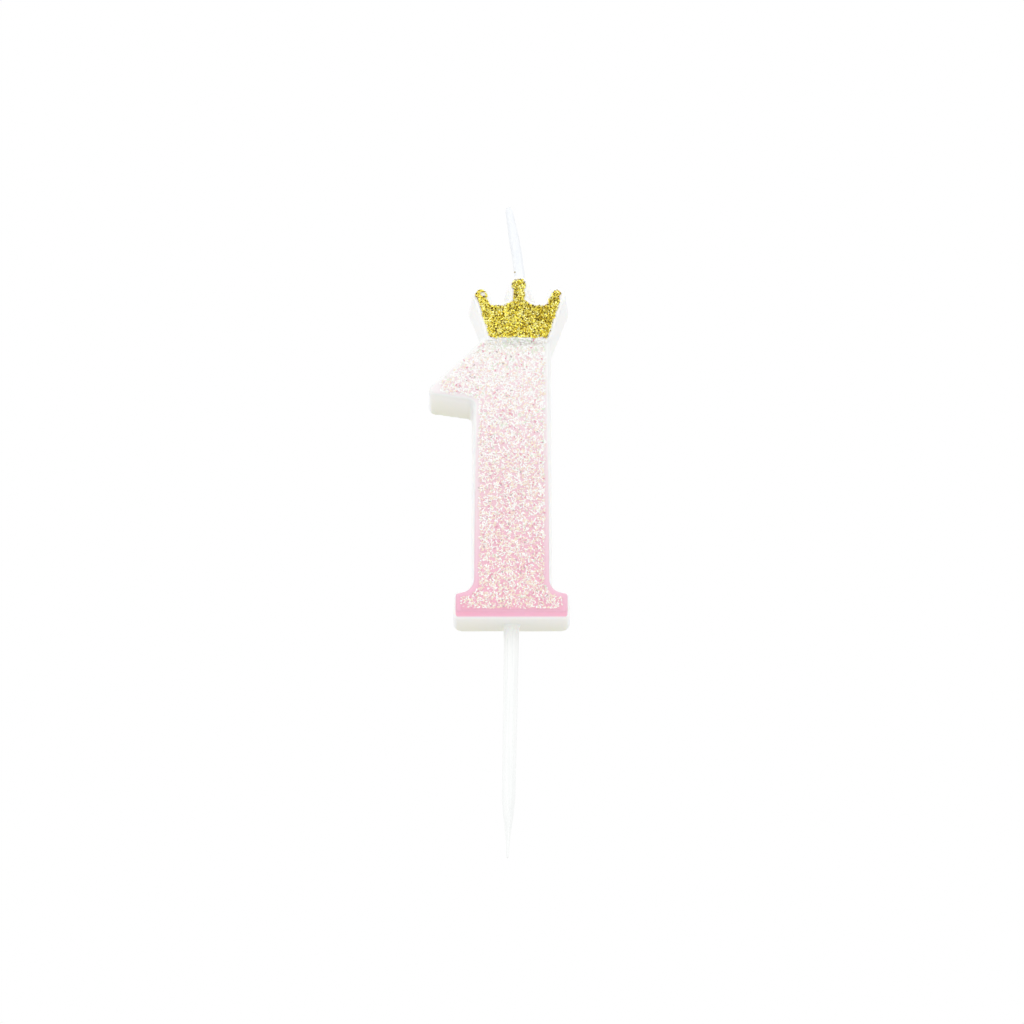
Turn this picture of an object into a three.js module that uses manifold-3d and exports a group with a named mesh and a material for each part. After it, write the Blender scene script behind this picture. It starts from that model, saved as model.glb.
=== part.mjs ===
// Number one birthday candle: a cast wax numeral with a crown, coated in pink and glitter,
// with a wick through the wax and a plastic pick below.
// Millimetres, +Z up, the glittered front faces -Y, and z = 0 is the flat underside of the wax.
import * as THREE from 'three';
import { mergeVertices } from 'three/addons/utils/BufferGeometryUtils.js';
import Module from 'manifold-3d';

const wasm = await Module();
wasm.setup();

// Driving dimensions of the numeral.
const thickness = 12;
const stemWidth = 15.8;
const numberHeight = 57; // the numeral's top edge, buried in the crown
const footWidth = stemWidth + 7;
const footHeight = 6.2;
const footSlope = 0.6; // the foot's upper edge falls this much towards its ends
const flagReach = 8.6; // how far the flag stands out from the stem
const flagTipHeight = 2.4;
const flagRise = numberHeight - 10.7; // height of the flag tip's upper corner
const flagDroop = 1.25; // the flag's underside falls this much towards the stem
const flagSlope = 0.965; // its upper edge climbs this much for each millimetre across
const moldDraft = 0.5; // how much the front is smaller than the back, all round
const edgeRadius = 1;

// Corner radii of the numeral's outline, at the back.
const footBottomRadius = 1.6;
const footTopRadius = 1.3;
const footFilletRadius = 2; // where the stem runs out into the foot
const headRadius = 0.6;
const flagTopRadius = 1.6;
const flagBottomRadius = 1.4;
const flagPointRadius = 2.6;
const flagFilletRadius = 0.8; // where the flag's underside meets the stem
const smallestRadius = 0.15;

// Driving dimensions of the crown.
const crownShift = 1.4; // the crown sits this far right of the stem's centre line
const crownBottom = numberHeight - 1.15; // lower edge of the gold
const crownFlare = 2.45; // each side leans out this much from bottom to tip
const crownHalfWidth = stemWidth / 2 - 2.3;
const crownProud = 0.5; // the crown's face stands in front of the numeral's
const spikeHeight = 7.9;
const spikeTipWidth = 1.15;
const valleyHeight = 6.35;
const valleyInset = 2.75; // from the spike's tip in to the valley
const valleyWidth = 2.3;
const neckHalfWidth = 1;
const neckShoulder = 1; // the neck's foot stands this much above the valley
const middleBallRise = 10.65;
const middleBallRadius = 1.3;
const sideBallRadius = 1.05;
const sideBallRise = spikeHeight + 0.7;
const sideBallInset = 0.75; // the ball's centre lies this far inside the spike's tip
const crownBorder = 0.5; // bare wax left round the gold
const crownEdgeRadius = 0.25;
const crownDraft = 0.25;
const crownBackFlare = 0.65; // the spikes' tips spread this much more at the back
const middleBallDraft = 1.1; // the middle ball widens most towards the back
const crownFootRadius = 0.4;
const spikeTipRadius = 0.3;
const valleyOuterRadius = 0.9;
const valleyInnerRadius = 1.2;
const neckFilletRadius = 0.7;
const neckTopRadius = 0.2;

// Coats on the front.
const pinkThickness = 0.35;
const glitterThickness = 0.2;
const goldThickness = 0.25;
const glitterBorder = 0.4; // pink left bare round the glitter, beyond the rounded edge

// Wick, pick and their fits.
const wickRadius = 0.95;
const wickCoreRadius = 0.6;
const wickLength = 17.2; // free length above the crown
const wickLean = 2.4; // the free end leans this far to the left
const wickBottom = 24;
const wickExitShift = 0.35; // it leaves the crown this far right of the middle ball's centre
const wickExitDepth = 0.4; // the bend starts this far below the ball's top
const wickDriftBelow = 0.3; // share of the sideways run done halfway up the wax
const wickBowAcross = 0.32; // the free end's bow: this share of the lean
const wickBowUp = 0.43; // is reached at this share of the free length
const corePokesOut = 0.4;
const pickRadius = 1.53;
const pickBelow = 44.6;
const pickAbove = 14;
const pickPoint = 11;
const pickTilt = THREE.MathUtils.degToRad(1);
const pickDepthFactor = 0.8;
const pickSides = 8;
const pickTipRadius = 0.18;
const pointMidFall = 0.32; // the point swells slowly over this share of its length
const pointMidWidth = 0.24; // up to this share of the pick's radius
const pointTopWidth = 0.84; // and ends at this share
const stickMidWidth = 0.96; // the stick keeps widening up to the wax
const stickMidFall = 0.3;
const barbWidth = 1.3; // the collar inside the wax, against the pick's radius
const barbFall = 2.2; // the collar starts this far below the pick's top
const barbRamp = 0.5;
const barbHeight = 0.7;
const pickTopWidth = 0.7;
const beadBelow = 1.5; // the bead shows this far below the underside
const beadAbove = 0.8; // and fills the socket's mouth this far up
const beadPlay = 0.015;
const castClearance = 0.3;
const sheathClearance = 0.05;

// Smoothness.
const arcSteps = 6;
const ballSteps = 32;
const edgeSteps = 4;
const wickSides = 16;
const wickSteps = 40;
const beadSteps = 24;

const back = thickness / 2;
const numeralFace = -thickness / 2 + pinkThickness;
const crownFace = -thickness / 2 - crownProud;
const halfStem = stemWidth / 2;
const halfFoot = footWidth / 2;

const flagTipX = -halfStem - flagReach;

// The flag's end is blunt on the wax and the pink coat.
const bluntTip = [
  { x: flagTipX, z: flagRise, radius: flagTopRadius },
  { x: flagTipX, z: flagRise - flagTipHeight, radius: flagBottomRadius },
];

// The glitter lies far enough inside that its own upper and lower edges meet in a point.
function pointedTip() {
  const beyond = flagTipHeight / (flagSlope + flagDroop / flagReach);
  return [{ x: flagTipX - beyond, z: flagRise - flagSlope * beyond, radius: flagPointRadius }];
}

// Outline corners, counter-clockwise as seen from the front. The edge that leaves a level
// corner has no draft.
function numeralCorners(flagTip) {
  const flagLow = flagRise - flagTipHeight;
  const shoulderX = flagTipX + (numberHeight - flagRise) / flagSlope;
  return [
    { x: -halfFoot, z: 0, radius: footBottomRadius, level: true },
    { x: halfFoot, z: 0, radius: footBottomRadius },
    { x: halfFoot, z: footHeight - footSlope, radius: footTopRadius },
    { x: halfStem, z: footHeight, radius: footFilletRadius },
    { x: halfStem, z: numberHeight, radius: headRadius },
    { x: shoulderX, z: numberHeight, radius: headRadius },
    ...flagTip,
    { x: -halfStem, z: flagLow - flagDroop, radius: flagFilletRadius },
    { x: -halfStem, z: footHeight, radius: footFilletRadius },
    { x: -halfFoot, z: footHeight - footSlope, radius: footTopRadius },
  ];
}

function crownCorners(extraFlare) {
  const sideTop = crownHalfWidth + crownFlare + extraFlare;
  const rightHalf = [
    { x: crownHalfWidth, z: 0, radius: crownFootRadius },
    { x: sideTop, z: spikeHeight, radius: spikeTipRadius },
    { x: sideTop - spikeTipWidth, z: spikeHeight + spikeTipWidth / 2, radius: spikeTipRadius },
    { x: sideTop - valleyInset, z: valleyHeight, radius: valleyOuterRadius },
    { x: sideTop - valleyInset - valleyWidth, z: valleyHeight, radius: valleyInnerRadius },
    { x: neckHalfWidth, z: valleyHeight + neckShoulder, radius: neckFilletRadius },
    { x: neckHalfWidth, z: middleBallRise - middleBallRadius / 2, radius: neckTopRadius },
  ];
  const leftHalf = rightHalf.map((corner) => ({ ...corner, x: -corner.x })).reverse();
  return [...rightHalf, ...leftHalf].map((corner) => ({
    ...corner,
    x: corner.x + crownShift,
    z: corner.z + crownBottom,
  }));
}

// Moves every edge of a cornered outline inwards, then rounds the corners with arcs.
function insetOutline(corners, draft, round) {
  const count = corners.length;
  const edges = corners.map((corner, i) => {
    const next = corners[(i + 1) % count];
    const along = new THREE.Vector2(next.x - corner.x, next.z - corner.z).normalize();
    const inward = new THREE.Vector2(-along.y, along.x);
    const depth = round + (corner.level ? 0 : draft);
    const start = new THREE.Vector2(corner.x, corner.z).addScaledVector(inward, depth);
    return { along, inward, start };
  });
  return corners.flatMap((corner, i) => {
    const before = edges[(i + count - 1) % count];
    const after = edges[i];
    const turn = before.along.cross(after.along);
    const gap = after.start.clone().sub(before.start);
    const vertex = before.start.clone().addScaledVector(before.along, gap.cross(after.along) / turn);
    const side = Math.sign(turn);
    const radius = Math.max(corner.radius - side * (draft + round), smallestRadius);
    return filletPoints(vertex, before, after, side, radius);
  });
}

function filletPoints(vertex, before, after, side, radius) {
  const angle = Math.acos(THREE.MathUtils.clamp(before.along.dot(after.along), -1, 1));
  const tangent = radius * Math.tan(angle / 2);
  const start = vertex.clone().addScaledVector(before.along, -tangent);
  const centre = start.clone().addScaledVector(before.inward, side * radius);
  const points = [];
  for (let step = 0; step <= arcSteps; step += 1) {
    const swing = (side * angle * step) / arcSteps;
    points.push(start.clone().rotateAround(centre, swing));
  }
  return points;
}

function circleOutline(centreX, centreZ, radius) {
  const points = [];
  for (let step = 0; step < ballSteps; step += 1) {
    const angle = (2 * Math.PI * step) / ballSteps;
    points.push(new THREE.Vector2(centreX + radius * Math.cos(angle), centreZ + radius * Math.sin(angle)));
  }
  return points;
}

// Skins a list of rings with equal point counts, ordered from back to front, and caps both ends.
function loft(rings) {
  const size = rings[0].points.length;
  const positions = rings.flatMap((ring) => ring.points.flatMap((point) => [point.x, ring.y, point.y]));
  const index = [];
  for (let level = 0; level + 1 < rings.length; level += 1) {
    for (let i = 0; i < size; i += 1) {
      const a = level * size + i;
      const b = level * size + ((i + 1) % size);
      index.push(a, b, b + size, a, b + size, a + size);
    }
  }
  const front = (rings.length - 1) * size;
  for (const [a, b, c] of THREE.ShapeUtils.triangulateShape(rings[0].points, [])) {
    index.push(a, c, b);
  }
  for (const [a, b, c] of THREE.ShapeUtils.triangulateShape(rings.at(-1).points, [])) {
    index.push(front + a, front + b, front + c);
  }
  const geometry = new THREE.BufferGeometry();
  geometry.setAttribute('position', new THREE.Float32BufferAttribute(positions, 3));
  geometry.setIndex(index);
  return geometry;
}

// Levels of a quarter-round edge between two depths in front of the edge's start.
function roundedLevels(startY, radius, fromDepth, toDepth) {
  const levels = [];
  for (let step = 0; step <= edgeSteps; step += 1) {
    const depth = THREE.MathUtils.lerp(fromDepth, toDepth, step / edgeSteps);
    levels.push({ y: startY - depth, round: radius - Math.sqrt(Math.max(radius ** 2 - depth ** 2, 0)) });
  }
  return levels;
}

function toSolid(geometry) {
  const plain = geometry.clone();
  plain.deleteAttribute('normal');
  plain.deleteAttribute('uv');
  const merged = mergeVertices(plain, 1e-5);
  const mesh = new wasm.Mesh({
    numProp: 3,
    vertProperties: new Float32Array(merged.attributes.position.array),
    triVerts: new Uint32Array(merged.index.array),
  });
  return new wasm.Manifold(mesh);
}

function toGeometry(solid) {
  const mesh = solid.getMesh();
  const geometry = new THREE.BufferGeometry();
  geometry.setAttribute('position', new THREE.BufferAttribute(mesh.vertProperties, 3));
  geometry.setIndex(new THREE.BufferAttribute(mesh.triVerts, 1));
  return geometry;
}

function numeralLayer(levels, corners = numeralCorners(bluntTip)) {
  return loft(levels.map(({ y, draft, round }) => ({ y, points: insetOutline(corners, draft, round) })));
}

const edgeStart = -thickness / 2 + edgeRadius;

function numeralSlab() {
  const rounded = roundedLevels(edgeStart, edgeRadius, 0, edgeRadius - pinkThickness);
  const front = rounded.map((level) => ({ ...level, draft: moldDraft }));
  return toSolid(numeralLayer([{ y: back, draft: 0, round: 0 }, ...front]));
}

function ballStack(centreX, rise, radius, levels) {
  const rings = levels.map(({ y, grow, extra }) => {
    const points = circleOutline(centreX(y), crownBottom + rise, radius + grow + extra);
    return { y, points };
  });
  return toSolid(loft(rings));
}

// The crown's plate and its three balls joined. Each level grows beyond the gold outline, and
// flares more the nearer it is to the back.
function crownPlate(levels) {
  const flareAt = (y) => (crownBackFlare * Math.max(y - crownFace, 0)) / (back - crownFace);
  const sideX = (y) => crownHalfWidth + crownFlare + flareAt(y) - sideBallInset;
  const plate = levels.map(({ y, grow }) => {
    const points = insetOutline(crownCorners(flareAt(y)), -grow, 0);
    return { y, points };
  });
  const plain = levels.map((level) => ({ ...level, extra: 0 }));
  const wide = levels.map((level) => ({ ...level, extra: level.middleExtra ?? 0 }));
  return toSolid(loft(plate))
    .add(ballStack((y) => crownShift + sideX(y), sideBallRise, sideBallRadius, plain))
    .add(ballStack((y) => crownShift - sideX(y), sideBallRise, sideBallRadius, plain))
    .add(ballStack(() => crownShift, middleBallRise, middleBallRadius, wide));
}

function crownSlab() {
  const atEdge = crownBorder + crownEdgeRadius;
  const start = crownFace + crownEdgeRadius;
  const front = roundedLevels(start, crownEdgeRadius, 0, crownEdgeRadius).map(({ y, round }) => ({
    y,
    grow: atEdge - round,
  }));
  return crownPlate([{ y: back, grow: atEdge + crownDraft, middleExtra: middleBallDraft }, ...front]);
}

// Centre line of the wick: up the stem, over to the crown's middle ball and out at a lean.
function wickPath(bottom, extraTop) {
  const ballTop = crownBottom + middleBallRise + middleBallRadius;
  const exitX = crownShift + wickExitShift;
  const points = [
    new THREE.Vector3(0, 0, bottom),
    new THREE.Vector3(exitX * wickDriftBelow, 0, (bottom + ballTop) / 2),
    new THREE.Vector3(exitX, 0, ballTop - wickExitDepth),
    new THREE.Vector3(exitX - wickLean * wickBowAcross, 0, ballTop + wickLength * wickBowUp),
    new THREE.Vector3(exitX - wickLean, 0, ballTop + wickLength + extraTop),
  ];
  return new THREE.CatmullRomCurve3(points);
}

function sweptRing(path, outer, inner) {
  const section = new THREE.Shape().absarc(0, 0, outer, 0, 2 * Math.PI);
  if (inner > 0) {
    section.holes.push(new THREE.Path().absarc(0, 0, inner, 0, 2 * Math.PI, true));
  }
  return new THREE.ExtrudeGeometry(section, {
    steps: wickSteps,
    curveSegments: wickSides / 2,
    extrudePath: path,
    bevelEnabled: false,
  });
}

// The pick's outline turned in eight flats, with a retaining collar inside the wax.
function pickShape(grow) {
  const barb = pickRadius * barbWidth;
  const shoulder = pickAbove - barbFall;
  const profile = [
    [0, -pickBelow - grow],
    [pickTipRadius + grow, -pickBelow],
    [pickRadius * pointMidWidth + grow, -pickBelow + pickPoint * pointMidFall],
    [pickRadius * pointTopWidth + grow, -pickBelow + pickPoint],
    [pickRadius * stickMidWidth + grow, -pickBelow * stickMidFall],
    [pickRadius + grow, 0],
    [pickRadius + grow, shoulder - grow],
    [barb + grow, shoulder + barbRamp - grow],
    [barb + grow, shoulder + barbRamp + barbHeight + grow],
    [pickRadius * pickTopWidth + grow, pickAbove + grow],
    [0, pickAbove + grow],
  ];
  const points = profile.map(([radius, z]) => new THREE.Vector2(radius, z));
  const geometry = new THREE.LatheGeometry(points, pickSides, Math.PI / pickSides);
  geometry.rotateX(Math.PI / 2);
  geometry.scale(1, pickDepthFactor, 1);
  geometry.rotateY(pickTilt);
  return geometry;
}

// The bead fits inside the flats of the socket's mouth.
function beadShape() {
  const radius = (pickRadius + castClearance) * Math.cos(Math.PI / pickSides) - beadPlay;
  const tail = pickRadius + beadPlay * 2;
  const profile = [
    [0, -beadBelow],
    [tail, -beadBelow],
    [(radius + tail) / 2, -beadBelow * 0.6],
    [radius, -beadBelow * 0.3],
    [radius, beadAbove],
    [0, beadAbove],
  ];
  const points = profile.map(([across, z]) => new THREE.Vector2(across, z));
  const geometry = new THREE.LatheGeometry(points, beadSteps);
  geometry.rotateX(Math.PI / 2);
  geometry.scale(1, pickDepthFactor, 1);
  geometry.rotateY(pickTilt);
  return geometry;
}

function waxBody() {
  const wickChannel = toSolid(sweptRing(wickPath(wickBottom, 1), wickRadius + castClearance, 0));
  const pickSocket = toSolid(pickShape(castClearance));
  return toGeometry(numeralSlab().add(crownSlab()).subtract(wickChannel).subtract(pickSocket));
}

function pinkCoat() {
  const levels = roundedLevels(edgeStart, edgeRadius, edgeRadius - pinkThickness, edgeRadius);
  const coat = toSolid(numeralLayer(levels.map((level) => ({ ...level, draft: moldDraft }))));
  return toGeometry(coat.subtract(crownSlab()));
}

function numberGlitter() {
  const face = -thickness / 2;
  const border = edgeRadius + glitterBorder;
  const levels = [
    { y: face, draft: moldDraft, round: border },
    { y: face - glitterThickness, draft: moldDraft, round: border + glitterThickness / 2 },
  ];
  const corners = numeralCorners(pointedTip()).map((corner) => ({ ...corner, level: false }));
  return toGeometry(toSolid(numeralLayer(levels, corners)).subtract(crownSlab()));
}

function crownGlitter() {
  const outer = crownFace - goldThickness;
  const edge = goldThickness / 3;
  return toGeometry(crownPlate([
    { y: crownFace, grow: 0 },
    { y: outer + edge, grow: 0 },
    { y: outer, grow: -edge },
  ]));
}

function wickSheath() {
  return sweptRing(wickPath(wickBottom, 0), wickRadius, wickCoreRadius + sheathClearance);
}

function wickCore() {
  return sweptRing(wickPath(wickBottom, corePokesOut), wickCoreRadius, 0);
}

function sealingBead() {
  return toGeometry(toSolid(beadShape()).subtract(toSolid(pickShape(0))));
}

const candle = new THREE.Group();
candle.name = 'number_candle';

function addPiece(name, geometry, color, roughness) {
  const material = new THREE.MeshStandardMaterial({ color, roughness, metalness: 0 });
  const mesh = new THREE.Mesh(geometry, material);
  mesh.name = name;
  candle.add(mesh);
  return mesh;
}

addPiece('wax_body', waxBody(), 0xf6f6f1, 0.45);
addPiece('pink_coat', pinkCoat(), 0xf5b4d0, 0.4);
addPiece('number_glitter', numberGlitter(), 0xf7e4ea, 0.35);
addPiece('crown_glitter', crownGlitter(), 0xd9b01c, 0.35).material.metalness = 0.8;
addPiece('wick_sheath', wickSheath(), 0xf5f7fb, 0.5);
addPiece('wick_core', wickCore(), 0xf2f2ee, 0.9);
addPiece('pick', pickShape(0), 0xf3f4f3, 0.35);
addPiece('sealing_bead', sealingBead(), 0xf4f3ec, 0.45);

export default candle;
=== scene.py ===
import math

import bmesh
import bpy
import numpy as np
from mathutils import Matrix, Vector, noise


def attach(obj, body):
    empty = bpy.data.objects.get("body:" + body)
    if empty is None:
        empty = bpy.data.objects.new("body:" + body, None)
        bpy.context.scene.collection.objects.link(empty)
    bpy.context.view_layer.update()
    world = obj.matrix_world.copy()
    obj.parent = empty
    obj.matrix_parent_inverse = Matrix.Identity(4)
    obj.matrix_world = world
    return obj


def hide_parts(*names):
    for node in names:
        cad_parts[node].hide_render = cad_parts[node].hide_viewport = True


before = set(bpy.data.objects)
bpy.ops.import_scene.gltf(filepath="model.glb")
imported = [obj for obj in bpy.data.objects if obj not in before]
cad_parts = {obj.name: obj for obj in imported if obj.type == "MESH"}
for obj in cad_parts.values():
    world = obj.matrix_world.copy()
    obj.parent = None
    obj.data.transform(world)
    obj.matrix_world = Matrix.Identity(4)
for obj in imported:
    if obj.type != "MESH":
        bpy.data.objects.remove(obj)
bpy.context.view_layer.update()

MM = 0.001
RNG = np.random.default_rng(7)

# Sizes repeated from the CAD, in millimetres.
FACE_Y = -6.0
CROWN_Y = -6.5
HALF_STEM = 7.9
HALF_FOOT = 11.4
FOOT_HEIGHT = 6.2
FOOT_SLOPE = 0.6
NUMBER_TOP = 57.0
FLAG_X = -16.5
FLAG_RISE = 46.3
FLAG_TIP = 2.4
FLAG_DROOP = 1.25
FLAG_SLOPE = 0.965
MOLD_DRAFT = 0.5
EDGE_RADIUS = 1.0
CROWN_X = 1.4
CROWN_BOTTOM = 55.85
CROWN_HALF = 5.6
CROWN_FLARE = 2.45
SPIKE_HEIGHT = 7.9
SPIKE_TIP_WIDTH = 1.15
VALLEY_HEIGHT = 6.35
VALLEY_INSET = 2.75
VALLEY_WIDTH = 2.3
NECK_HALF_WIDTH = 1
MIDDLE_BALL_RISE = 10.65
MIDDLE_BALL_RADIUS = 1.3
SIDE_BALL_RADIUS = 1.05
SIDE_BALL_INSET = 0.75
SIDE_BALL_RISE = SPIKE_HEIGHT + 0.7
WICK_POINTS = [(0, 0, 24), (0.525, 0, 45.9), (1.75, 0, 67.4), (0.982, 0, 75.2), (-0.65, 0, 85.0)]
WICK_RADIUS = 0.95
PICK_RADIUS = 1.53
PICK_BELOW = 44.6
PICK_POINT = 11.0
PICK_TILT = math.radians(1)
PICK_DEPTH = 0.8
PICK_SIDES = 8

# Sizes that only the finished surfaces have, in millimetres.
COAT_BOTTOM = 0.3  # bare wax left under the pink coat
COAT_PROUD = 0.05  # the coat's film stands this far off the wax
CASTING_VOXEL = 0.25
PEARL_BORDER = 1.25  # pink left bare round the pearl flakes
BINDER_BORDER = 1.35
PEARL_SPACING = 0.215
GOLD_SPACING = 0.13
FLAKE_THICKNESS = 0.03
FLAKE_LIFT = 0.13  # stray flakes lie this far off the crown's plane
WICK_SWELL = 1.1  # the wax round the wick is this much thicker at the crown
WICK_THINNING = 0.36  # and thins by this share
WICK_THIN_FROM = 78  # from this height
WICK_THIN_OVER = 7  # over this length


# ---------------------------------------------------------------- outlines

def numeral_corners(pointed=False):
    """The numeral's corners as (x, z, radius), counter-clockwise seen from the front."""
    beyond = FLAG_TIP / (FLAG_SLOPE + FLAG_DROOP / (-HALF_STEM - FLAG_X))
    blunt = [(FLAG_X, FLAG_RISE, 1.6), (FLAG_X, FLAG_RISE - FLAG_TIP, 1.4)]
    point = [(FLAG_X - beyond, FLAG_RISE - FLAG_SLOPE * beyond, 2.6)]
    shoulder = FLAG_X + (NUMBER_TOP - FLAG_RISE) / FLAG_SLOPE
    foot_end = FOOT_HEIGHT - FOOT_SLOPE
    return [
        (-HALF_FOOT, 0, 1.6),
        (HALF_FOOT, 0, 1.6),
        (HALF_FOOT, foot_end, 1.3),
        (HALF_STEM, FOOT_HEIGHT, 2),
        (HALF_STEM, NUMBER_TOP, 0.6),
        (shoulder, NUMBER_TOP, 0.6),
        *(point if pointed else blunt),
        (-HALF_STEM, FLAG_RISE - FLAG_TIP - FLAG_DROOP, 0.8),
        (-HALF_STEM, FOOT_HEIGHT, 2),
        (-HALF_FOOT, foot_end, 1.3),
    ]


def crown_corners():
    top = CROWN_HALF + CROWN_FLARE
    valley = top - VALLEY_INSET
    right = [
        (CROWN_HALF, 0, 0.4),
        (top, SPIKE_HEIGHT, 0.3),
        (top - SPIKE_TIP_WIDTH, SPIKE_HEIGHT + SPIKE_TIP_WIDTH / 2, 0.3),
        (valley, VALLEY_HEIGHT, 0.9),
        (valley - VALLEY_WIDTH, VALLEY_HEIGHT, 1.2),
        (NECK_HALF_WIDTH, VALLEY_HEIGHT + 1, 0.7),
        (NECK_HALF_WIDTH, MIDDLE_BALL_RISE - MIDDLE_BALL_RADIUS / 2, 0.2),
    ]
    both = right + [(-x, z, r) for x, z, r in reversed(right)]
    return [(x + CROWN_X, z + CROWN_BOTTOM, r) for x, z, r in both]


def inset_outline(corners, inset, steps=12):
    """The outline with every edge moved inwards and every corner rounded by an arc."""
    corner = np.array([c[:2] for c in corners], float)
    along = np.roll(corner, -1, 0) - corner
    along /= np.linalg.norm(along, axis=1)[:, None]
    inward = np.stack([-along[:, 1], along[:, 0]], 1)
    start = corner + inward * inset
    points = []
    for i in range(len(corners)):
        a, b = along[i - 1], along[i]
        turn = a[0] * b[1] - a[1] * b[0]
        gap = start[i] - start[i - 1]
        vertex = start[i - 1] + a * (gap[0] * b[1] - gap[1] * b[0]) / turn
        side = math.copysign(1, turn)
        radius = max(corners[i][2] - side * inset, 0.15)
        angle = math.acos(max(-1, min(1, a @ b)))
        first = vertex - a * radius * math.tan(angle / 2)
        centre = first + inward[i - 1] * side * radius
        for step in range(steps + 1):
            swing = side * angle * step / steps
            c, s = math.cos(swing), math.sin(swing)
            spoke = first - centre
            points.append(centre + (c * spoke[0] - s * spoke[1], s * spoke[0] + c * spoke[1]))
    return np.array(points)


def inside_distance(points, outline):
    """Distance of each point to the outline, positive inside."""
    a, b = outline, np.roll(outline, -1, 0)
    keep = np.linalg.norm(b - a, axis=1) > 1e-6
    a, b = a[keep], b[keep]
    edge = b - a
    result = np.empty(len(points))
    for lo in range(0, len(points), 4000):
        p = points[lo:lo + 4000, None, :]
        t = np.clip(((p - a) * edge).sum(2) / (edge ** 2).sum(1), 0, 1)
        near = np.linalg.norm(p - (a + t[..., None] * edge), axis=2).min(1)
        above = (a[:, 1] > p[..., 1]) != (b[:, 1] > p[..., 1])
        with np.errstate(divide="ignore", invalid="ignore"):
            cross_x = a[:, 0] + (p[..., 1] - a[:, 1]) * edge[:, 0] / edge[:, 1]
        odd = (above & (p[..., 0] < cross_x)).sum(1) % 2
        result[lo:lo + 4000] = np.where(odd == 1, near, -near)
    return result


# ---------------------------------------------------------------- mesh helpers

def make_object(name, verts, faces, materials, smooth=True):
    """An object from vertices in millimetres."""
    mesh = bpy.data.meshes.new(name)
    mesh.from_pydata((np.asarray(verts, float) * MM).tolist(), [], faces)
    return wrap_mesh(name, mesh, materials, smooth)


def wrap_mesh(name, mesh, materials, smooth=True):
    mesh.validate()
    for material in materials:
        mesh.materials.append(material)
    mesh.polygons.foreach_set("use_smooth", [smooth] * len(mesh.polygons))
    mesh.update()
    obj = bpy.data.objects.new(name, mesh)
    bpy.context.scene.collection.objects.link(obj)
    return obj


def place(obj, slot, *nodes):
    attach(obj, "root")
    if nodes:
        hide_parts(*nodes)
    return obj


def ring_tube(rings):
    """Closed skin over rings of equal length, with a fan at each end."""
    size = len(rings[0])
    verts = np.concatenate(rings)
    faces = []
    for level in range(len(rings) - 1):
        for i in range(size):
            a, b = level * size + i, level * size + (i + 1) % size
            faces.append((a, b, b + size, a + size))
    last = (len(rings) - 1) * size
    verts = np.vstack([verts, rings[0].mean(0), rings[-1].mean(0)])
    for i in range(size):
        j = (i + 1) % size
        faces.append((j, i, len(verts) - 2))
        faces.append((last + i, last + j, len(verts) - 1))
    return verts, faces


def capped_loft(levels):
    """Closed skin over outlines at given depths, ordered from back to front, with flat caps."""
    size = len(levels[0][1])
    verts = np.vstack([np.column_stack([o[:, 0], np.full(size, y), o[:, 1]]) for y, o in levels])
    faces = []
    for level in range(len(levels) - 1):
        for i in range(size):
            a, b = level * size + i, level * size + (i + 1) % size
            faces.append((a, b, b + size, a + size))
    last = (len(levels) - 1) * size
    faces.append(tuple(range(size - 1, -1, -1)))
    faces.append(tuple(range(last, last + size)))
    return verts, faces


def centripetal(points, count):
    """Points along a centripetal Catmull-Rom curve through the given ones."""
    p = [Vector(q) for q in points]
    p = [p[0] * 2 - p[1]] + p + [p[-1] * 2 - p[-2]]
    spans = len(p) - 3
    out = []
    for k in range(count + 1):
        s = min(k / count * spans, spans - 1e-6)
        i = int(s)
        q = p[i:i + 4]
        t = [0.0]
        for a, b in zip(q, q[1:]):
            t.append(t[-1] + math.sqrt((b - a).length))
        u = t[1] + (s - i) * (t[2] - t[1])
        level = list(zip(t, q))
        for width in (1, 2, 3):
            level = [
                (a[0], (a[1] * (t[j + width] - u) + b[1] * (u - t[j])) / (t[j + width] - t[j]))
                for j, (a, b) in enumerate(zip(level, level[1:]))
            ]
        out.append(level[0][1])
    return out


def sweep(path, radius_at, sides=32):
    """Rings round a path, with a radius that depends on the place along it and the angle."""
    rings = []
    up = Vector((0, 1, 0))
    for k, centre in enumerate(path):
        tangent = (path[min(k + 1, len(path) - 1)] - path[max(k - 1, 0)]).normalized()
        across = up.cross(tangent).normalized()
        other = tangent.cross(across)
        angles = np.linspace(0, 2 * math.pi, sides, endpoint=False)
        ring = [centre + radius_at(k, a) * (math.cos(a) * across + math.sin(a) * other) for a in angles]
        rings.append(np.array(ring))
    return rings


# ---------------------------------------------------------------- materials

def material(name, color=None, **sockets):
    mat = bpy.data.materials.new(name)
    mat.use_nodes = True
    shader = mat.node_tree.nodes["Principled BSDF"]
    if color is not None:
        shader.inputs["Base Color"].default_value = (*color, 1)
    for key, value in sockets.items():
        shader.inputs[key.replace("_", " ")].default_value = value
    return mat


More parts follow.
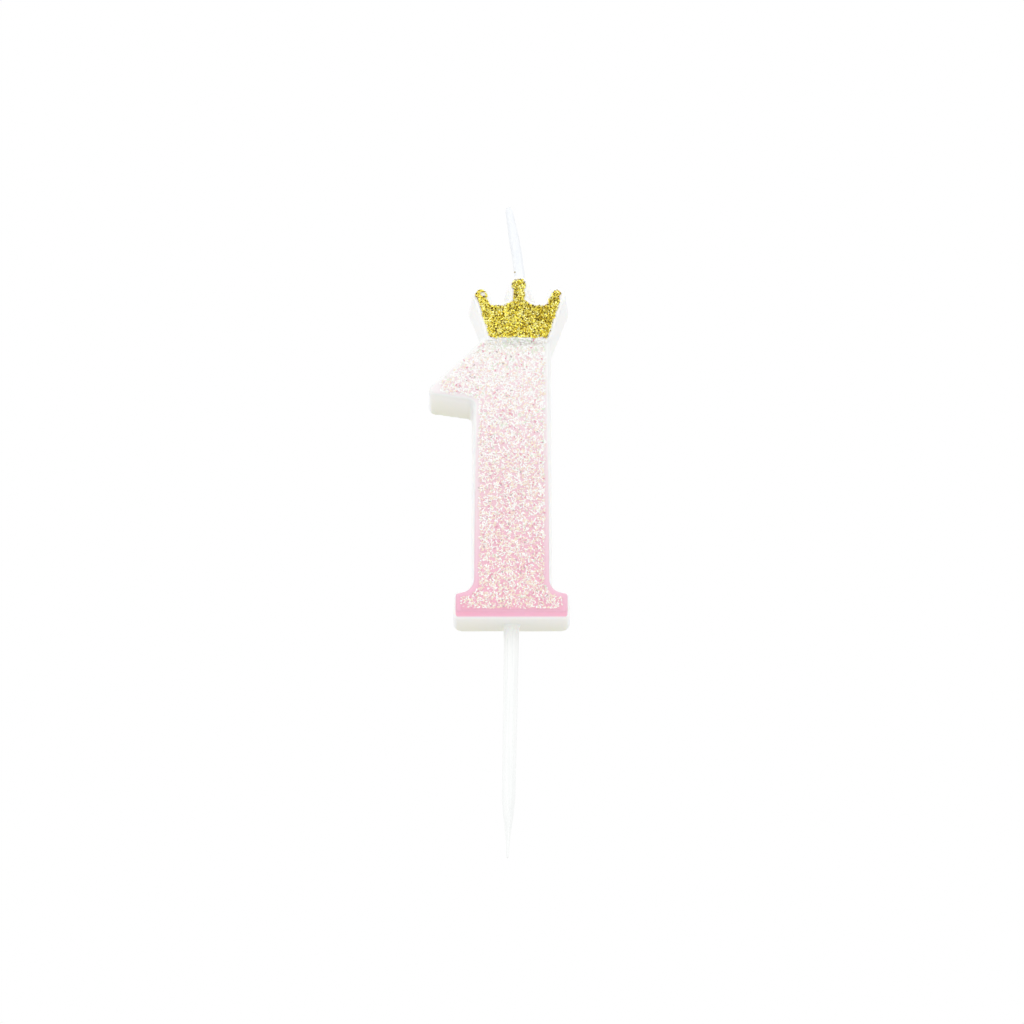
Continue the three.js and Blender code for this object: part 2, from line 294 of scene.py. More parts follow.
class Nodes:
    """Short calls for one material's nodes."""

    def __init__(self, mat):
        self.tree = mat.node_tree
        self.shader = self.tree.nodes["Principled BSDF"]

    def link(self, source, target):
        self.tree.links.new(source, target)

    def add(self, kind, **inputs):
        node = self.tree.nodes.new(kind)
        for key, value in inputs.items():
            socket = node.inputs[key.replace("_", " ")]
            if hasattr(value, "links"):
                self.link(value, socket)
            else:
                socket.default_value = value
        return node

    def place(self):
        return self.add("ShaderNodeTexCoord").outputs["Object"]

    def noise(self, scale, detail=2.0, vector=None, roughness=0.5):
        node = self.add("ShaderNodeTexNoise", Scale=scale, Detail=detail, Roughness=roughness)
        self.link(vector or self.place(), node.inputs["Vector"])
        return node.outputs["Fac"]

    def remap(self, value, lo, hi, to_lo=0.0, to_hi=1.0, smooth=True):
        node = self.tree.nodes.new("ShaderNodeMapRange")
        node.interpolation_type = "SMOOTHSTEP" if smooth else "LINEAR"
        self.link(value, node.inputs["Value"])
        for key, number in zip(("From Min", "From Max", "To Min", "To Max"), (lo, hi, to_lo, to_hi)):
            node.inputs[key].default_value = number
        return node.outputs["Result"]

    def math(self, operation, a, b):
        node = self.tree.nodes.new("ShaderNodeMath")
        node.operation = operation
        for socket, value in zip(node.inputs, (a, b)):
            if hasattr(value, "links"):
                self.link(value, socket)
            else:
                socket.default_value = value
        return node.outputs[0]

    def mix(self, factor, a, b):
        node = self.tree.nodes.new("ShaderNodeMix")
        node.data_type = "RGBA"
        self.link(factor, node.inputs["Factor"])
        for key, value in ((6, a), (7, b)):
            if hasattr(value, "links"):
                self.link(value, node.inputs[key])
            else:
                node.inputs[key].default_value = (*value, 1)
        return node.outputs[2]

    def ramp(self, value, stops):
        node = self.tree.nodes.new("ShaderNodeValToRGB")
        self.link(value, node.inputs["Fac"])
        ramp = node.color_ramp
        while len(ramp.elements) < len(stops):
            ramp.elements.new(0.5)
        for element, (position, color) in zip(ramp.elements, stops):
            element.position = position
            element.color = (*color, 1)
        return node.outputs["Color"]

    def bump(self, height, distance, strength=1.0, after=None):
        node = self.add("ShaderNodeBump", Strength=strength, Distance=distance)
        self.link(height, node.inputs["Height"])
        if after:
            self.link(after, node.inputs["Normal"])
        return node.outputs["Normal"]

    def axis(self, index):
        node = self.add("ShaderNodeSeparateXYZ")
        self.link(self.place(), node.inputs[0])
        return node.outputs[index]


def srgb(r, g, b):
    return tuple((c / 255 / 12.92) if c <= 10 else ((c / 255 + 0.055) / 1.055) ** 2.4 for c in (r, g, b))


# The coat's and the lacquer's colours by height, from the foot (0) to the numeral's top (1).
PINK_STOPS = [
    (0.00, srgb(244, 176, 200)),
    (0.06, srgb(245, 184, 206)),
    (0.14, srgb(246, 197, 215)),
    (0.35, srgb(245, 212, 222)),
    (0.55, srgb(245, 222, 229)),
    (0.75, srgb(247, 233, 238)),
    (1.00, srgb(250, 246, 246)),
]
# The lacquer's pink is set deeper than the coat's as painted shade in the gaps between the pearl flakes.
BINDER_SHADED_STOPS = [
    (0.00, srgb(242, 176, 198)),
    (0.15, srgb(240, 186, 204)),
    (0.45, srgb(237, 198, 210)),
    (0.70, srgb(240, 213, 221)),
    (0.92, srgb(244, 229, 232)),
    (1.00, srgb(234, 236, 226)),
]


def pink_by_height(nodes, stops):
    """The coat's colour, strongest at the foot and near white at the head."""
    height = nodes.remap(nodes.axis(2), 0, NUMBER_TOP * MM, smooth=False)
    drift = nodes.math("MULTIPLY", nodes.math("SUBTRACT", nodes.noise(90), 0.5), 0.16)
    return nodes.ramp(nodes.math("ADD", height, drift), stops)


def pink_cover(nodes):
    """Where the pink lies: the front face and its rounded edge, further back at the foot."""
    height = nodes.axis(2)
    reach = nodes.remap(height, 2 * MM, 38 * MM, -5.62 * MM, -5.94 * MM, smooth=False)
    ragged = nodes.math("MULTIPLY", nodes.math("SUBTRACT", nodes.noise(900), 0.5), 0.1 * MM)
    depth = nodes.math("ADD", nodes.math("SUBTRACT", reach, nodes.axis(1)), ragged)
    cover = nodes.remap(depth, -0.1 * MM, 0.12 * MM)
    above_foot = nodes.remap(height, 0.25 * MM, 0.75 * MM)
    below_crown = nodes.remap(height, 55.6 * MM, 54.6 * MM)
    return nodes.math("MULTIPLY", cover, nodes.math("MULTIPLY", above_foot, below_crown))


def wax_color_and_underside_shade(nodes):
    """Milky white, with painted shade on the underside, darker and yellower towards the back of the
    mould.
    """
    cloud = nodes.remap(nodes.noise(160, 3), 0.3, 0.7)
    white = nodes.mix(cloud, srgb(252, 252, 251), srgb(254, 254, 253))
    normal = nodes.add("ShaderNodeSeparateXYZ")
    nodes.link(nodes.add("ShaderNodeTexCoord").outputs["Normal"], normal.inputs[0])
    # Surfaces that face down get painted shade, darkening and yellowing towards the back.
    facing_down = nodes.remap(normal.outputs[2], -0.6, -0.95)
    back = nodes.remap(nodes.axis(1), -6 * MM, 6 * MM, smooth=False)
    underside_shade = nodes.mix(back, srgb(255, 252, 248), srgb(237, 236, 222))
    return nodes.mix(facing_down, white, underside_shade)


def wax_material():
    """Milky wax with a soft pink overspray on the numeral's front edge."""
    mat = material("wax", Subsurface_Weight=0.35, Subsurface_Scale=0.0025, Coat_Weight=0.08)
    n = Nodes(mat)
    n.shader.inputs["Subsurface Radius"].default_value = (1.0, 0.85, 0.65)
    # The wax colour carries painted shade on the undersides.
    color = n.mix(pink_cover(n), wax_color_and_underside_shade(n), pink_by_height(n, PINK_STOPS))
    n.link(color, n.shader.inputs["Base Color"])
    n.link(n.remap(n.noise(420, 3), 0.25, 0.75, 0.38, 0.55), n.shader.inputs["Roughness"])
    soft = n.bump(n.noise(260, 2), 0.25 * MM, 0.35)
    fine = n.bump(n.noise(2600, 3), 0.03 * MM, 0.5, soft)
    n.link(fine, n.shader.inputs["Normal"])
    return mat


def pink_material():
    mat = material("pink_wax_coat", Subsurface_Weight=0.2, Subsurface_Scale=0.0015, Coat_Weight=0.25)
    n = Nodes(mat)
    n.shader.inputs["Subsurface Radius"].default_value = (1.0, 0.6, 0.7)
    # Where the pink doesn't cover, the wax colour carries painted shade on the undersides.
    color = n.mix(pink_cover(n), wax_color_and_underside_shade(n), pink_by_height(n, PINK_STOPS))
    n.link(color, n.shader.inputs["Base Color"])
    n.link(n.remap(n.noise(700, 3), 0.3, 0.7, 0.28, 0.48), n.shader.inputs["Roughness"])
    broad = n.bump(n.noise(350, 2), 0.2 * MM, 0.4)
    n.link(n.bump(n.noise(3000, 3), 0.03 * MM, 0.5, broad), n.shader.inputs["Normal"])
    return mat


def binder_material():
    """The glossy lacquer that holds the pearl flakes, pinker and darker than the bare coat; the deeper
    pink is painted shade in the gaps between the flakes.
    """
    mat = material("pearl_binder", Coat_Weight=0.5)
    n = Nodes(mat)
    n.link(pink_by_height(n, BINDER_SHADED_STOPS), n.shader.inputs["Base Color"])
    n.link(n.remap(n.noise(1500, 3), 0.3, 0.7, 0.25, 0.5), n.shader.inputs["Roughness"])
    n.link(n.bump(n.noise(2600, 3), 0.06 * MM, 0.6), n.shader.inputs["Normal"])
    return mat


def bead_material():
    mat = material("bead_wax", Subsurface_Weight=0.2, Subsurface_Scale=0.001, Coat_Weight=0.1)
    n = Nodes(mat)
    cloud = n.remap(n.noise(900, 3), 0.3, 0.7)
    n.link(n.mix(cloud, srgb(250, 250, 247), srgb(254, 254, 252)), n.shader.inputs["Base Color"])
    n.link(n.bump(n.noise(1500, 2), 0.05 * MM, 0.5), n.shader.inputs["Normal"])
    return mat


# Pearl flake tints: name, colour, share at the head, share at the foot, extra share by the crown. The
# extra share by the crown is a painted reflection of the gold (mint, butter) and painted shade under the
# crown's edge (slate).
PEARLS = [
    ("white", (255, 255, 254), 0.66, 0.10, 0),
    ("cream", (252, 248, 239), 0.18, 0.28, 0),
    ("butter", (248, 235, 213), 0.02, 0.21, 0.03),
    ("peach", (247, 224, 213), 0.03, 0.19, 0),
    ("blush", (245, 215, 223), 0.05, 0.13, 0),
    ("rose", (232, 166, 186), 0.01, 0.06, 0),
    ("mint", (226, 238, 218), 0.04, 0.01, 0.35),
    ("slate", (196, 184, 184), 0.01, 0.01, 0.06),
]
# Gold flake tints: name, colour, share at the crown's left end, change towards its right end, where the
# gain of darker tints is painted shade.
GOLDS = [
    ("bright", (248, 234, 98), 0.42, -0.14),
    ("lemon", (252, 246, 160), 0.26, -0.06),
    ("deep", (230, 204, 60), 0.16, 0.03),
    ("olive", (168, 142, 30), 0.09, 0.07),
    ("umber", (104, 80, 14), 0.07, 0.09),
]


def pearl_materials():
    mats = []
    for name, color, *_ in PEARLS:
        mat = material("pearl_" + name, srgb(*color), Roughness=0.28, Coat_Weight=0.4)
        shader = mat.node_tree.nodes["Principled BSDF"]
        shader.inputs["Specular IOR Level"].default_value = 0.7
        mats.append(mat)
    return mats


def gold_materials():
    mats = []
    for name, color, *_ in GOLDS:
        mats.append(material("gold_" + name, srgb(*color), Roughness=0.22, Metallic=0.85))
    return mats


def gold_base_material():
    mat = material("gold_lacquer", Metallic=0.5, Coat_Weight=0.5)
    n = Nodes(mat)
    grain = n.remap(n.noise(2200, 3), 0.35, 0.65)
    n.link(n.mix(grain, srgb(104, 80, 18), srgb(206, 176, 58)), n.shader.inputs["Base Color"])
    n.link(n.remap(n.noise(1500), 0.3, 0.7, 0.3, 0.55), n.shader.inputs["Roughness"])
    n.link(n.bump(n.noise(2400, 3), 0.15 * MM, 0.8), n.shader.inputs["Normal"])
    return mat


def wick_material():
    mat = material("waxed_wick", Coat_Weight=0.1)
    n = Nodes(mat)
    stretched = n.add("ShaderNodeMapping", Scale=(1, 1, 0.25))
    n.link(n.place(), stretched.inputs["Vector"])
    streak = n.remap(n.noise(1400, 3, stretched.outputs[0]), 0.3, 0.7)
    n.link(n.mix(streak, srgb(238, 241, 246), srgb(243, 245, 248)), n.shader.inputs["Base Color"])
    n.link(n.remap(streak, 0, 1, 0.4, 0.55), n.shader.inputs["Roughness"])
    n.link(n.bump(streak, 0.06 * MM, 0.6), n.shader.inputs["Normal"])
    return mat


def cotton_material():
    mat = material("cotton", Sheen_Weight=0.4, Roughness=0.9)
    n = Nodes(mat)
    fibre = n.remap(n.noise(5000, 4), 0.3, 0.7)
    n.link(n.mix(fibre, srgb(238, 238, 234), srgb(250, 250, 248)), n.shader.inputs["Base Color"])
    n.link(n.bump(fibre, 0.03 * MM, 0.3), n.shader.inputs["Normal"])
    return mat


def pick_material():
    """Milky moulded plastic with long faint draw lines."""
    mat = material("milky_plastic", Coat_Weight=0.2)
    n = Nodes(mat)
    stretched = n.add("ShaderNodeMapping", Scale=(1, 1, 0.03))
    n.link(n.place(), stretched.inputs["Vector"])
    line = n.remap(n.noise(2600, 2, stretched.outputs[0]), 0.3, 0.7)
    n.link(n.mix(line, srgb(243, 245, 245), srgb(248, 249, 249)), n.shader.inputs["Base Color"])
    n.link(n.remap(line, 0, 1, 0.25, 0.4), n.shader.inputs["Roughness"])
    n.link(n.bump(line, 0.02 * MM, 0.5), n.shader.inputs["Normal"])
    return mat


# ---------------------------------------------------------------- wax body

def tube_mm(path, radius_at, sides=24):
    return ring_tube(sweep(path, radius_at, sides))


def wick_plug():
    """Fills the wick's channel and climbs the wick a little as a narrowing collar."""
    width, collar_start, collar_end, narrowing = 1.5, 68.4, 70.3, 0.28
    path = [p for p in centripetal(WICK_POINTS, 120) if p.z < collar_end]

    def radius(k, angle):
        return width - narrowing * max(0, path[k].z - collar_start)

    return tube_mm(path, radius)


def pick_plug():
    """Fills the pick's socket, wider where the pick's collar sits."""
    low, high, collar_from = 0.12, 15.2, 10
    path = [Vector((0.02 * z, 0, z)) for z in np.linspace(low, high, 12)]
    return tube_mm(path, lambda k, angle: 2.5 if path[k].z > collar_from else 2.1)


def wax_body(mat):
    """The CAD wax and coat joined, with the wick's and pick's openings grown shut, softened."""
    joined = bmesh.new()
    for node in ("wax_body", "pink_coat"):
        joined.from_mesh(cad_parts[node].data)
    bmesh.ops.scale(joined, vec=(1 / MM,) * 3, verts=joined.verts)
    for verts, faces in (wick_plug(), pick_plug()):
        plug = bpy.data.meshes.new("plug")
        plug.from_pydata(verts.tolist(), [], faces)
        joined.from_mesh(plug)
    mesh = bpy.data.meshes.new("wax_casting")
    joined.to_mesh(mesh)
    joined.free()
    shell = bpy.data.objects.new("wax_raw", mesh)
    bpy.context.scene.collection.objects.link(shell)
    remesh = shell.modifiers.new("remesh", "REMESH")
    remesh.mode = "VOXEL"
    remesh.voxel_size = CASTING_VOXEL
    soften = shell.modifiers.new("soften", "SMOOTH")
    soften.factor = 0.5
    soften.iterations = 5
    depsgraph = bpy.context.evaluated_depsgraph_get()
    soft = bpy.data.meshes.new_from_object(shell.evaluated_get(depsgraph))
    bpy.data.objects.remove(shell)
    count = len(soft.vertices)
    place_of, normal_of = np.empty(count * 3), np.empty(count * 3)
    soft.vertices.foreach_get("co", place_of)
    soft.vertices.foreach_get("normal", normal_of)
    place_of, normal_of = place_of.reshape(-1, 3), normal_of.reshape(-1, 3)
    wave = [noise.noise(Vector(p) / 9) * 0.05 + noise.noise(Vector(p) / 2.2) * 0.012 for p in place_of]
    soft.vertices.foreach_set("co", ((place_of + normal_of * np.array(wave)[:, None]) * MM).ravel())
    return wrap_mesh("wax_casting", soft, [mat])


# ---------------------------------------------------------------- coats

def pink_coat(mat):
    """A thin shell over the numeral's face, down over its rounded edge."""
    corners = [(x, max(z, COAT_BOTTOM), r) for x, z, r in numeral_corners()]
    levels = [(FACE_Y + 0.3, inset_outline(corners, MOLD_DRAFT + 1.2))]
    for depth in np.linspace(0.72, 1.0, 8):
        curve = math.sqrt(max(EDGE_RADIUS ** 2 - depth ** 2, 0))
        inset = MOLD_DRAFT + EDGE_RADIUS - curve - COAT_PROUD * 0.7
        levels.append((FACE_Y + EDGE_RADIUS - depth - COAT_PROUD, inset_outline(corners, inset)))
    return make_object("pink_coat_film", *capped_loft(levels), [mat])


def glitter_binder(mat):
    """A thin lacquer plate under the pearl flakes, a little inside their ragged border."""
    corners = numeral_corners(pointed=True)
    border, bevel = MOLD_DRAFT + BINDER_BORDER, 0.07
    levels = [
        (FACE_Y + 0.1, inset_outline(corners, border)),
        (FACE_Y - 0.07, inset_outline(corners, border)),
        (FACE_Y - 0.09, inset_outline(corners, border + bevel)),
    ]
    return make_object("pearl_binder_film", *capped_loft(levels), [mat])


def flakes(name, centres, normals, radii, lengthening, tints, mats):
    """Thin closed hexagonal flakes, each in one tint."""
    count = len(centres)
    spin = RNG.uniform(0, math.pi, count)
    helper = np.tile([0.0, 0.0, 1.0], (count, 1))
    u = np.cross(helper, normals)
    u /= np.linalg.norm(u, axis=1)[:, None]
    v = np.cross(normals, u)
    corner_angle = np.tile(np.arange(6) * math.pi / 3, (count, 1))
    stretch = RNG.uniform(*lengthening, count)[:, None, None]
    turn = spin[:, None, None]
    long_axis = np.cos(turn) * u[:, None] + np.sin(turn) * v[:, None]
    short_axis = np.cos(turn) * v[:, None] - np.sin(turn) * u[:, None]
    arm = radii[:, None, None] * (
        np.cos(corner_angle)[..., None] * long_axis * stretch
        + np.sin(corner_angle)[..., None] * short_axis / np.sqrt(stretch)
    )
    half = normals[:, None] * FLAKE_THICKNESS / 2
    top = centres[:, None] + arm + half
    bottom = centres[:, None] + arm - half
    verts = np.concatenate([top, bottom], 1).reshape(-1, 3)
    template = [(0, 1, 2, 3, 4, 5), (11, 10, 9, 8, 7, 6)]
    template += [(i + 6, (i + 1) % 6 + 6, (i + 1) % 6, i) for i in range(6)]
    faces = [tuple(12 * k + i for i in face) for k in range(count) for face in template]
    obj = make_object(name, verts, faces, mats, smooth=False)
    obj.data.polygons.foreach_set("material_index", np.repeat(tints, len(template)))
    return obj


def tilted(count, degrees, facing=(0, -1, 0)):
    """Unit normals scattered about a direction."""
    spread = math.tan(math.radians(degrees))
    n = np.array(facing, float) + RNG.normal(0, spread, (count, 3))
    return n / np.linalg.norm(n, axis=1)[:, None]


def thinned(points, spacing):
    """Drops points closer than the spacing to one already kept."""
    kept, cells = [], {}
    for i, (x, z) in enumerate(points):
        cx, cz = int(x // spacing), int(z // spacing)
        near = [
            j for dx in (-1, 0, 1) for dz in (-1, 0, 1) for j in cells.get((cx + dx, cz + dz), ())
        ]
        if all((points[j][0] - x) ** 2 + (points[j][1] - z) ** 2 > spacing ** 2 for j in near):
            kept.append(i)
            cells.setdefault((cx, cz), []).append(i)
    return points[kept]


def number_glitter(mats):
    """Pearl flakes over the numeral's face, thickest at the head, inside a ragged pink border."""
    field = inset_outline(numeral_corners(pointed=True), MOLD_DRAFT + PEARL_BORDER)
    low, high = field.min(0), field.max(0) + (0, 1)
    points = RNG.uniform(low, high, (90000, 2))
    depth = inside_distance(points, field)
    wobble = np.array([noise.noise(Vector((x / 1.1, 3.7, z / 1.1))) for x, z in points])
    floor_gap = np.clip(2.9 - points[:, 1], 0, None)
    towards_head = np.clip(points[:, 1] / 50, 0, 1)
    on_face = depth + 0.35 * wobble - 0.55 * floor_gap > 0.05 - 0.35 * towards_head
    beside = np.abs(points[:, 0] - CROWN_X)
    under_crown = (beside < CROWN_HALF - 0.2) & (points[:, 1] > CROWN_BOTTOM - 1)
    under_crown &= points[:, 1] + 0.3 * wobble < CROWN_BOTTOM + 0.15
    points = thinned(points[on_face | under_crown], PEARL_SPACING)
    rise = np.clip(points[:, 1] / 56, 0, 1)
    clump = np.array([noise.noise(Vector((x / 0.75, 9.1, z / 0.75))) for x, z in points])
    keep = RNG.uniform(0, 1, len(points)) < 0.72 + 0.14 * rise + 0.9 * clump
    points, rise = points[keep], rise[keep]
    count = len(points)
    level = FACE_Y - 0.1 - RNG.uniform(0, 0.1, count)
    step_up = np.clip((points[:, 1] - (CROWN_BOTTOM - 1.4)) / 0.9, 0, 1)
    level -= step_up * (FACE_Y - CROWN_Y)
    centres = np.column_stack([points[:, 0], level, points[:, 1]])
    share_top = np.array([p[2] for p in PEARLS])
    share_foot = np.array([p[3] for p in PEARLS])
    share = share_foot + rise[:, None] * (share_top - share_foot)
    # Near the crown, more mint and butter flakes paint the gold's reflection, and more slate flakes
    # paint shade under its edge.
    crown_reflection_and_shade = np.clip((points[:, 1] - 52.5) / 3, 0, 1) * np.exp(-((points[:, 0] - CROWN_X) / 4) ** 2)
    share += crown_reflection_and_shade[:, None] * np.array([p[4] for p in PEARLS])
    share /= share.sum(1)[:, None]
    tints = (RNG.uniform(0, 1, count)[:, None] > share.cumsum(1)).sum(1)
    radii = RNG.uniform(0.12, 0.2, count)
    return flakes("number_glitter_flakes", centres, tilted(count, 9), radii, (1.2, 2.1), tints, mats)


def crown_area(points):
    """How far inside the gold each point lies. On the right the gold runs up as a slanted bar."""
    depth = inside_distance(points, inset_outline(crown_corners(), 0))
    middle_ball = (0, MIDDLE_BALL_RISE, MIDDLE_BALL_RADIUS)
    left_ball = (SIDE_BALL_INSET - CROWN_HALF - CROWN_FLARE, SIDE_BALL_RISE, SIDE_BALL_RADIUS)
    right_bar = [(6.4 + 0.22 * k, 7.5 + 0.3 * k, 0.62) for k in range(6)]
    for dx, dz, radius in [middle_ball, left_ball] + right_bar:
        centre = np.array([CROWN_X + dx, CROWN_BOTTOM + dz])
        depth = np.maximum(depth, radius - np.linalg.norm(points - centre, axis=1))
    return depth


def crown_glitter(mats):
    """Gold flakes over the crown's face, darker towards the right as painted shade, with a bare spot on
    the left ball.
    """
    low = np.array([CROWN_X - 9, CROWN_BOTTOM - 0.5])
    high = np.array([CROWN_X + 9, CROWN_BOTTOM + 12.5])
    points = RNG.uniform(low, high, (26000, 2))
    wobble = np.array([noise.noise(Vector((x / 0.8, 1.2, z / 0.8))) for x, z in points])
    points = points[crown_area(points) + 0.22 * wobble > -0.02]
    bare_spot, bare_radius = (CROWN_X - 7.0, CROWN_BOTTOM + 8.75), 0.52
    covered = np.linalg.norm(points - bare_spot, axis=1) > bare_radius
    points = thinned(points[covered], GOLD_SPACING)
    count = len(points)
    level = CROWN_Y - 0.16 - RNG.uniform(0, 0.16, count)
    centres = np.column_stack([points[:, 0], level, points[:, 1]])
    # Darker tints gain towards the right: painted shade on the side away from the key light.
    rightward_shade = np.clip((points[:, 0] - CROWN_X + 6) / 12, 0, 1)[:, None]
    share = np.array([g[2] for g in GOLDS]) + rightward_shade * np.array([g[3] for g in GOLDS])
    share /= share.sum(1)[:, None]
    tints = (RNG.uniform(0, 1, count)[:, None] > share.cumsum(1)).sum(1)
    radii = RNG.uniform(0.1, 0.19, count)
    return flakes("crown_glitter_flakes", centres, tilted(count, 20), radii, (1.0, 1.8), tints, mats)


def stray_gold(mats):
    """A few flakes that strayed from the crown onto the wick and the numeral's head."""
    level = CROWN_Y - FLAKE_LIFT
    on_wick = next(p for p in centripetal(WICK_POINTS, 260) if p.z > 71.2)
    outward = Vector((-0.8, -0.6, 0))
    spot = on_wick + outward * (WICK_RADIUS * WICK_SWELL + FLAKE_THICKNESS)
    centres = np.array([tuple(spot), (-2.1, level, 55.6), (4.6, level, 55.5)])
    normals = np.array([tuple(outward), (0, -1, 0), (0, -1, 0)])
    radii = np.array([0.2, 0.14, 0.13])
    return flakes("stray_gold_flakes", centres, normals, radii, (1.0, 1.3), np.array([3, 2, 1]), mats)


def gold_base(mat):
    """The lacquer plate under the gold flakes."""
    corners = crown_corners()
    levels = [
        (CROWN_Y + 0.12, inset_outline(corners, 0.12)),
        (CROWN_Y - 0.06, inset_outline(corners, 0.12)),
        (CROWN_Y - 0.12, inset_outline(corners, 0.2)),
    ]
    return make_object("crown_gold_base", *capped_loft(levels), [mat])


# ---------------------------------------------------------------- wick

def wick_sheath(mat):
    """Lumpy wax round the wick, thinning towards a rounded tip."""
    path = [p for p in centripetal(WICK_POINTS, 260) if p.z > 62]
    last = len(path) - 1

    def radius(k, angle):
        height = path[k].z
        lump = noise.noise(Vector((math.cos(angle), math.sin(angle), height * 0.5))) * 0.035
        ripple = 0.012 * math.sin(3 * (angle + height * 1.6))
        end = min(1, math.sqrt(max((last - k) / 5, 0.12)))
        taper = WICK_SWELL - WICK_THINNING * max(0, (height - WICK_THIN_FROM) / WICK_THIN_OVER)
        return (WICK_RADIUS * taper + lump + ripple) * (0.35 + 0.65 * end)

    return make_object("wick_wax_sheath", *tube_mm(path, radius, 40), [mat])


def wick_core(mat):
    """Three twisted strands of cotton, which show only at the wick's cut tip."""
    strands, strand_offset, strand_radius = 3, 0.22, 0.24
    path = [p for p in centripetal(WICK_POINTS, 260) if p.z > 80]
    tip = path[-1]
    lean = (path[-1] - path[-4]).normalized()
    path += [tip + lean * 0.08]
    rings_all, faces_all, offset = [], [], 0
    for strand in range(strands):
        phase = strand * 2 * math.pi / strands
        line = []
        for k, p in enumerate(path):
            turn = phase + k * 0.16
            line.append(p + Vector((math.cos(turn), math.sin(turn), 0)) * strand_offset)
        end = len(line) - 1
        verts, faces = tube_mm(line, lambda k, a: strand_radius * (1 if k < end - 1 else 0.75), 12)
        rings_all.append(verts)
        faces_all += [tuple(i + offset for i in face) for face in faces]
        offset += len(verts)
    return make_object("wick_cotton", np.vstack(rings_all), faces_all, [mat])


# ---------------------------------------------------------------- pick

def pick_section(across_at, z):
    """A soft eight-sided ring with faint draw lines, leaning as the pick does."""
    steps = 96
    half_side = math.pi / PICK_SIDES
    ring = []
    for k in range(steps):
        angle = 2 * math.pi * k / steps
        flat = math.cos(half_side) / math.cos((angle + half_side) % (2 * half_side) - half_side)
        ridge = 0.008 * noise.noise(Vector((math.cos(angle) * 9, math.sin(angle) * 9, z * 0.02)))
        r = across_at(angle) * (0.2 + 0.8 * flat) + ridge
        ring.append((r * math.cos(angle), r * math.sin(angle) * PICK_DEPTH, z))
    lean = Matrix.Rotation(PICK_TILT, 3, "Y")
    return np.array([lean @ Vector(p) for p in ring])


def pick_stick(mat):
    """The stick and its point, from the tip to just inside the wax."""
    tip = -PICK_BELOW
    profile = [
        (tip, 0.06),
        (tip + 0.25, 0.2),
        (tip + PICK_POINT * 0.32, PICK_RADIUS * 0.27),
        (tip + PICK_POINT * 0.75, PICK_RADIUS * 0.68),
        (tip + PICK_POINT, PICK_RADIUS * 0.85),
        (tip + PICK_POINT + 1.5, PICK_RADIUS * 0.875),
        (tip * 0.3, PICK_RADIUS * 0.96),
        (1.5, PICK_RADIUS),
    ]
    heights = np.concatenate([np.linspace(-PICK_BELOW, -32, 40), np.linspace(-31.5, 1.5, 34)])
    across = np.interp(heights, *zip(*profile))
    rings = [pick_section(lambda angle, width=width: width, z) for width, z in zip(across, heights)]
    return make_object("pick_stick", *ring_tube(rings), [mat])


def wax_bead(mat):
    """A fillet of wax round the pick's root, running down it in a few thin drips."""
    buried = -0.05
    rings = []
    for z in np.linspace(-4.4, 0.3, 70):

        def across(angle):
            drip = noise.noise(Vector((math.cos(angle) * 2.4, math.sin(angle) * 2.4, 4.2)))
            film = 0.12 / (1 + math.exp((-z - 0.9 - 4.2 * max(drip, -0.1)) * 4))
            fillet = min(0.3 * math.exp((z - 0.05) / 0.28), 0.42)
            return PICK_RADIUS + buried + film + fillet

        rings.append(pick_section(across, z))
    return make_object("pick_wax_bead", *ring_tube(rings), [mat])


# ---------------------------------------------------------------- object

wax = wax_material()
place(wax_body(wax), "wax", "wax_body")
place(pink_coat(pink_material()), "pink_wax", "pink_coat")
place(glitter_binder(binder_material()), "pearl_glitter", "number_glitter")
place(number_glitter(pearl_materials()), "pearl_glitter")
place(gold_base(gold_base_material()), "gold_glitter", "crown_glitter")
golds = gold_materials()
place(crown_glitter(golds), "gold_glitter")
place(stray_gold(golds), "gold_glitter")
place(wick_sheath(wick_material()), "wick_wax", "wick_sheath")
place(wick_core(cotton_material()), "cotton", "wick_core")
place(pick_stick(pick_material()), "pick_plastic", "pick")
place(wax_bead(bead_material()), "wax", "sealing_bead")


# ---------------------------------------------------------------- scene

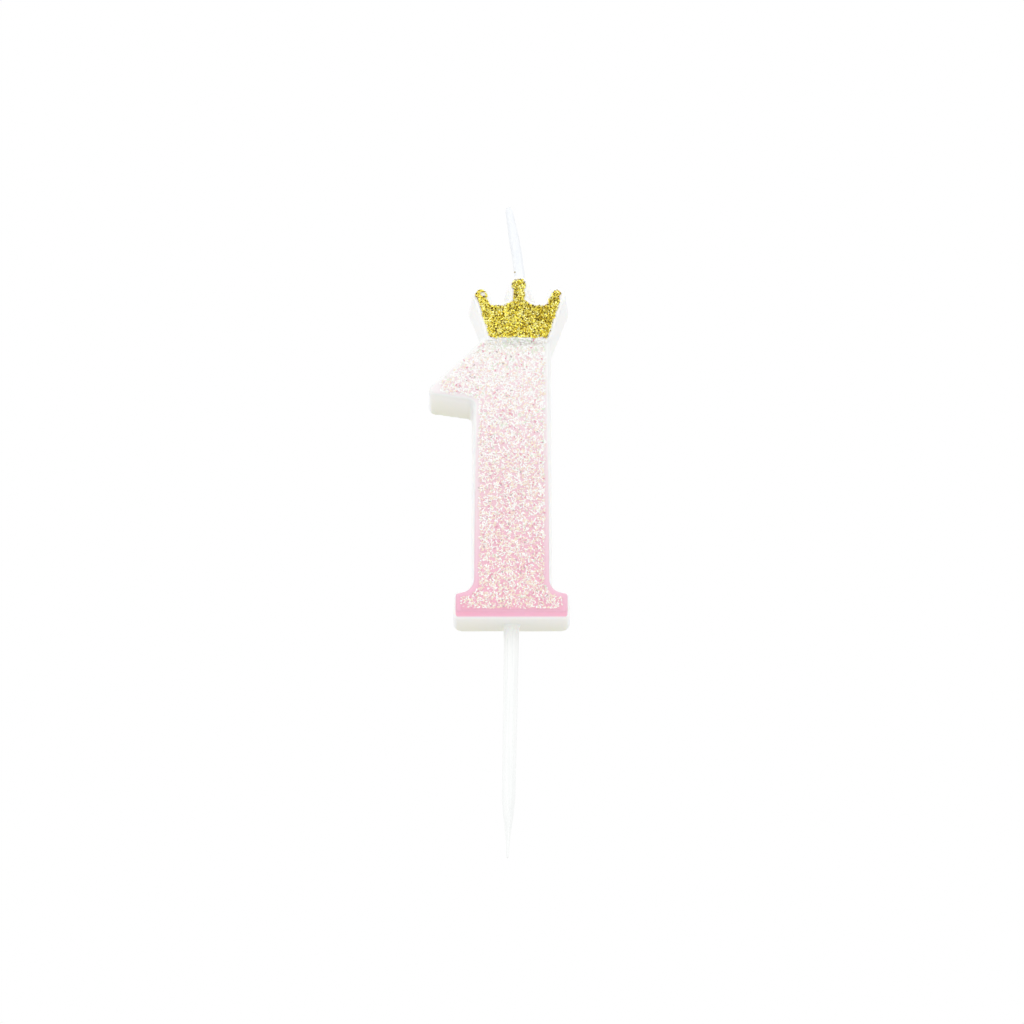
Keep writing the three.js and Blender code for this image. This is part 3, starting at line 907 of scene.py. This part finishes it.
def studio():
    """A pale floor, white surroundings and two large soft lights."""
    scene = bpy.context.scene
    scene.view_settings.view_transform = "Standard"
    floor_material = material("floor", Roughness=0.9)
    n = Nodes(floor_material)
    n.link(n.mix(n.noise(3), srgb(226, 226, 224), srgb(231, 231, 229)), n.shader.inputs["Base Color"])
    corners = [(x, y, -200) for x, y in ((-2e4, -2e4), (2e4, -2e4), (2e4, 2e4), (-2e4, 2e4))]
    make_object("floor", corners, [(0, 1, 2, 3)], [floor_material])

    world = bpy.data.worlds.new("studio")
    scene.world = world
    world.use_nodes = True
    tree = world.node_tree
    background = tree.nodes["Background"]
    background.inputs["Color"].default_value = (1, 1, 1, 1)
    background.inputs["Strength"].default_value = 0.97
    seen = tree.nodes.new("ShaderNodeBackground")
    seen.inputs["Color"].default_value = (1, 1, 1, 1)
    pick_one = tree.nodes.new("ShaderNodeMixShader")
    path = tree.nodes.new("ShaderNodeLightPath")
    tree.links.new(path.outputs["Is Camera Ray"], pick_one.inputs[0])
    tree.links.new(background.outputs[0], pick_one.inputs[1])
    tree.links.new(seen.outputs[0], pick_one.inputs[2])
    tree.links.new(pick_one.outputs[0], tree.nodes["World Output"].inputs["Surface"])

    soft_light("key", (-0.6, -0.8, 0.5), 0.8, 2.0)
    soft_light("fill", (0.75, -0.7, 0.4), 0.8, 1.4)


def soft_light(name, location, size, power):
    light = bpy.data.lights.new(name, "AREA")
    light.shape = "SQUARE"
    light.size = size
    light.energy = power
    obj = bpy.data.objects.new(name, light)
    obj.location = location
    obj.visible_camera = False
    obj.rotation_euler = (Vector((0, 0, 0.03)) - Vector(location)).to_track_quat("-Z", "Y").to_euler()
    bpy.context.scene.collection.objects.link(obj)


def camera():
    """Half a metre away, looking up at the candle from below its underside."""
    distance, elevation = 0.5, math.radians(14)
    target = Vector((0.00006, 0, 0.02242))
    look = Vector((0, math.cos(elevation), math.sin(elevation)))
    data = bpy.data.cameras.new("camera")
    data.sensor_width = 36
    data.lens = 90.6
    data.clip_start = 0.01
    obj = bpy.data.objects.new("camera", data)
    obj.location = target - look * distance
    obj.rotation_euler = look.to_track_quat("-Z", "Y").to_euler()
    bpy.context.scene.collection.objects.link(obj)
    bpy.context.scene.camera = obj


studio()
camera()
